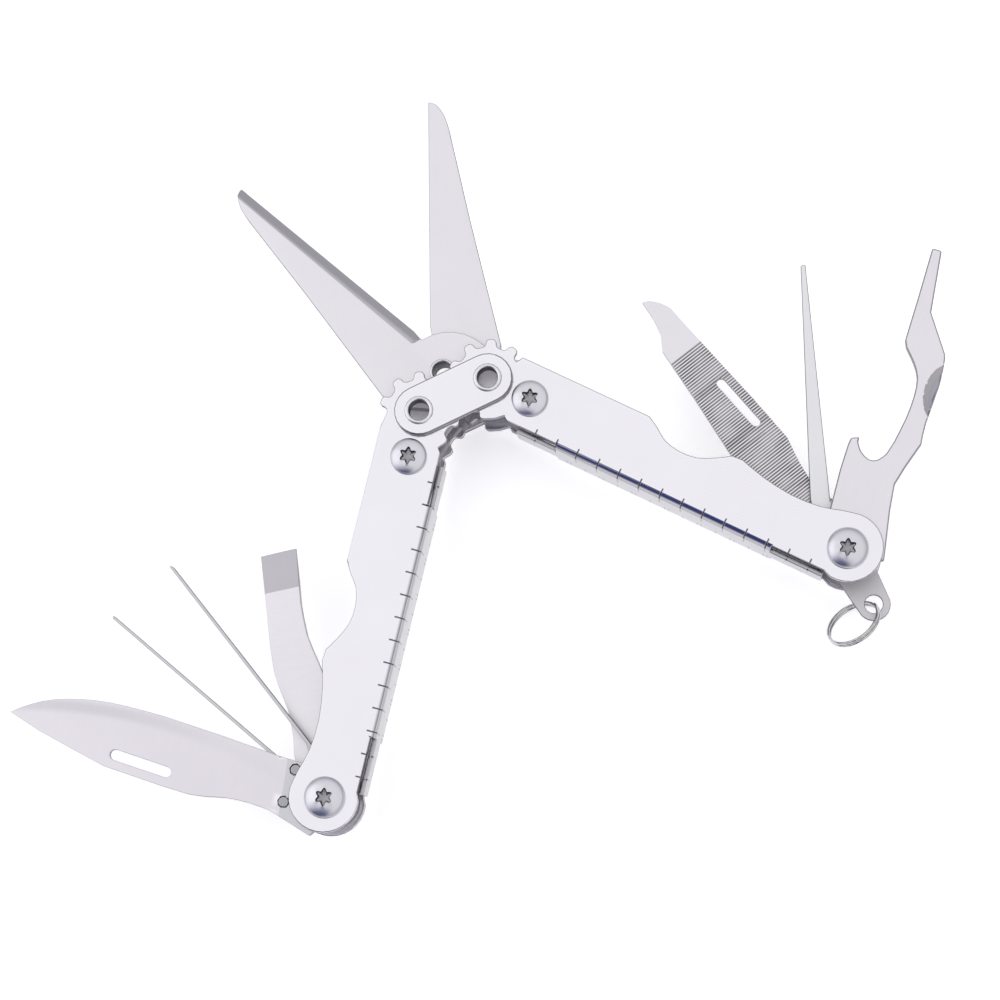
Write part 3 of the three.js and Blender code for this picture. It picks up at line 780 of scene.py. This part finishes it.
# ---- Nail file ----
file_local = implement_frame("nail_file", "right")
FILE = {"start": 4.5, "end": 35.7, "pitch": 0.4, "depth": 0.06}
file_top = (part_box("nail_file")[1].z - middle_z) / MM
mesh = copy_of("nail_file")
grooves = int((FILE["end"] - FILE["start"]) / FILE["pitch"])
for half_pitch in range(2 * grooves + 1):
    slice_mesh(mesh, file_local, (FILE["start"] + half_pitch * FILE["pitch"] / 2, 0, 0), (1, 0, 0))


def file_height(along, across, height):
    turn = (along - FILE["start"]) / FILE["pitch"]
    if height < file_top - 0.005 or not 0 < turn < grooves:
        return height
    return height - FILE["depth"] * (1 - abs(2 * (turn % 1) - 1))


def file_steel(name, local):
    steel = Steel(name, BRUSHED, 0.3, local)
    steel.painted_edge_shade(0.35, 0.8)
    middle = FILE["start"] + grooves * FILE["pitch"] / 2
    in_length = steel.near(steel.along, middle, grooves * FILE["pitch"] / 2, 0.05)
    from_groove = repeated(steel, FILE["pitch"], FILE["start"] + FILE["pitch"] / 2)
    # Painted shade in the bottoms of the grooves, patchy along the file.
    groove_shade = steel.near(from_groove, 0.0, 0.06, 0.1)
    patchy_shade = steel.ramp(steel.noise(0.25, 0.25, 0.25, 1.0), 0.3, 0.7, 0.75, 1.0)
    steel.darken(steel.math("MULTIPLY", steel.math("MULTIPLY", groove_shade, in_length), patchy_shade), 0.85)
    steel.grain(steel.noise(9, 0.5, 0.5), 0.04, 0.0004)
    return steel.finish()


reshape(mesh, file_local, file_height)
nail_file = new_piece("nail_file_cut", mesh, "file", ["nail_file"], 5)
set_materials(nail_file, file_steel("cut_file", file_local))

# ---- Pick and tweezers ----
dress("pick", pale_steel("pale_pick", implement_frame("pick", "right")), 0.15)
tweezer_local = implement_frame("tweezer_arm_fixed", "left")
pale_tweezer = pale_steel("pale_tweezers", tweezer_local, SPECKLED, 0.3)
for node in ("tweezer_arm_fixed", "tweezer_arm_spring"):
    dress(node, pale_tweezer, 0.06)

# ---- Lanyard tab and split ring ----
dress("lanyard_tab", blasted_steel("blasted_tab", LEVEL, TAB), 0.12)
split_ring = nodes["split_ring"]
set_materials(split_ring, turned_steel("ring_wire", WIRE, 0.16))
split_ring.modifiers.new("weld", "WELD").merge_threshold = SAME_POINT * MM
rounder = split_ring.modifiers.new("rounder", "SUBSURF")
rounder.levels = rounder.render_levels = 2
shade_smooth(split_ring)

# ---- Floor, light and camera ----
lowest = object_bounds()[0].z
floor_mesh = bmesh.new()
bmesh.ops.create_grid(floor_mesh, x_segments=8, y_segments=8, size=2.5)
floor_data = bpy.data.meshes.new("floor")
floor_mesh.to_mesh(floor_data)
floor_mesh.free()
floor = bpy.data.objects.new("floor", floor_data)
floor.location.z = lowest - 0.05 * MM  # a hair below, so that the two don't share a surface
bpy.context.scene.collection.objects.link(floor)
floor_material = bpy.data.materials.new("pale_floor")
floor_material.use_nodes = True
floor_inputs = floor_material.node_tree.nodes["Principled BSDF"].inputs
floor_inputs["Base Color"].default_value = (0.93, 0.93, 0.94, 1)
floor_inputs["Roughness"].default_value = 0.9
floor_inputs["Emission Color"].default_value = (1, 1, 1, 1)
floor_inputs["Emission Strength"].default_value = 0.5
floor_data.materials.append(floor_material)
floor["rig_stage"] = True

gear_middle = (gear_pivot["left"] + gear_pivot["right"]) / 2


def from_gears(x, y, z):
    """A point in millimetres from the middle of the gear pivots."""
    return Vector((gear_middle.x + x * MM, gear_middle.y + y * MM, middle_z + z * MM))


camera_data = bpy.data.cameras.new("camera")
camera_data.lens = 108
camera_data.clip_start = 10 * MM
camera = bpy.data.objects.new("camera", camera_data)
bpy.context.scene.collection.objects.link(camera)
view_direction = Vector((-0.0022, 0.1923, -0.9813)).normalized()
view_right = view_direction.cross(Vector((0.4303, 0.8860, 0.1727))).normalized()
view_up = view_right.cross(view_direction).normalized()
view_turn = Matrix((view_right, view_up, -view_direction)).transposed().to_4x4()
camera.matrix_world = Matrix.Translation(from_gears(0.44, -94.65, 405.75)) @ view_turn
bpy.context.scene.camera = camera

# A pale sky that dims towards the horizon, with one dark blue card high on the near left side.
# The card's edges are the cosines of the angles from its middle where it starts and is full.
SKY = [
    (0.0, (0.34, 0.34, 0.37)),
    (0.3, (0.42, 0.42, 0.45)),
    (0.75, (0.9, 0.895, 0.92)),
    (1.0, (0.92, 0.915, 0.935)),
]
CARD = {"toward": Vector((-0.60, -0.42, 0.72)).normalized(), "color": (0.035, 0.045, 0.15)}
CARD["edges"] = (0.84, 0.93)
world = bpy.data.worlds.new("studio")
bpy.context.scene.world = world
world.use_nodes = True
tree = world.node_tree
direction = tree.nodes.new("ShaderNodeTexCoord").outputs["Generated"]
height = add_node(tree, "ShaderNodeSeparateXYZ", {0: direction}).outputs["Z"]
sky = add_node(tree, "ShaderNodeValToRGB", {0: height})
while len(sky.color_ramp.elements) < len(SKY):
    sky.color_ramp.elements.new(0.5)
for element, (position, color) in zip(sky.color_ramp.elements, SKY):
    element.position = position
    element.color = (*color, 1)
sockets = {0: direction, 1: CARD["toward"]}
toward_card = add_node(tree, "ShaderNodeVectorMath", sockets, operation="DOT_PRODUCT")
sockets = {"Value": toward_card.outputs["Value"]}
sockets.update(zip(("From Min", "From Max"), CARD["edges"]))
card_mask = add_node(tree, "ShaderNodeMapRange", sockets, interpolation_type="SMOOTHSTEP").outputs[0]
mixed = add_node(tree, "ShaderNodeMix", {0: card_mask, 6: sky.outputs[0]}, data_type="RGBA")
mixed.inputs[7].default_value = (*CARD["color"], 1)
tree.links.new(mixed.outputs[2], tree.nodes["Background"].inputs["Color"])
tree.nodes["Background"].inputs["Strength"].default_value = 1.0

lamp_data = bpy.data.lights.new("softbox", "AREA")
lamp_data.size = 0.5
lamp_data.energy = 0.35
lamp = bpy.data.objects.new("softbox", lamp_data)
lamp.location = from_gears(-330, 120, 300)
lamp.rotation_euler = (from_gears(0, 0, 0) - lamp.location).to_track_quat("-Z", "Y").to_euler()
bpy.context.scene.collection.objects.link(lamp)
bpy.context.scene.view_settings.view_transform = "Standard"

found = {"cad": cad_bounds, "visual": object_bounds()}
{name: [list(corner) for corner in corners] for name, corners in found.items()}
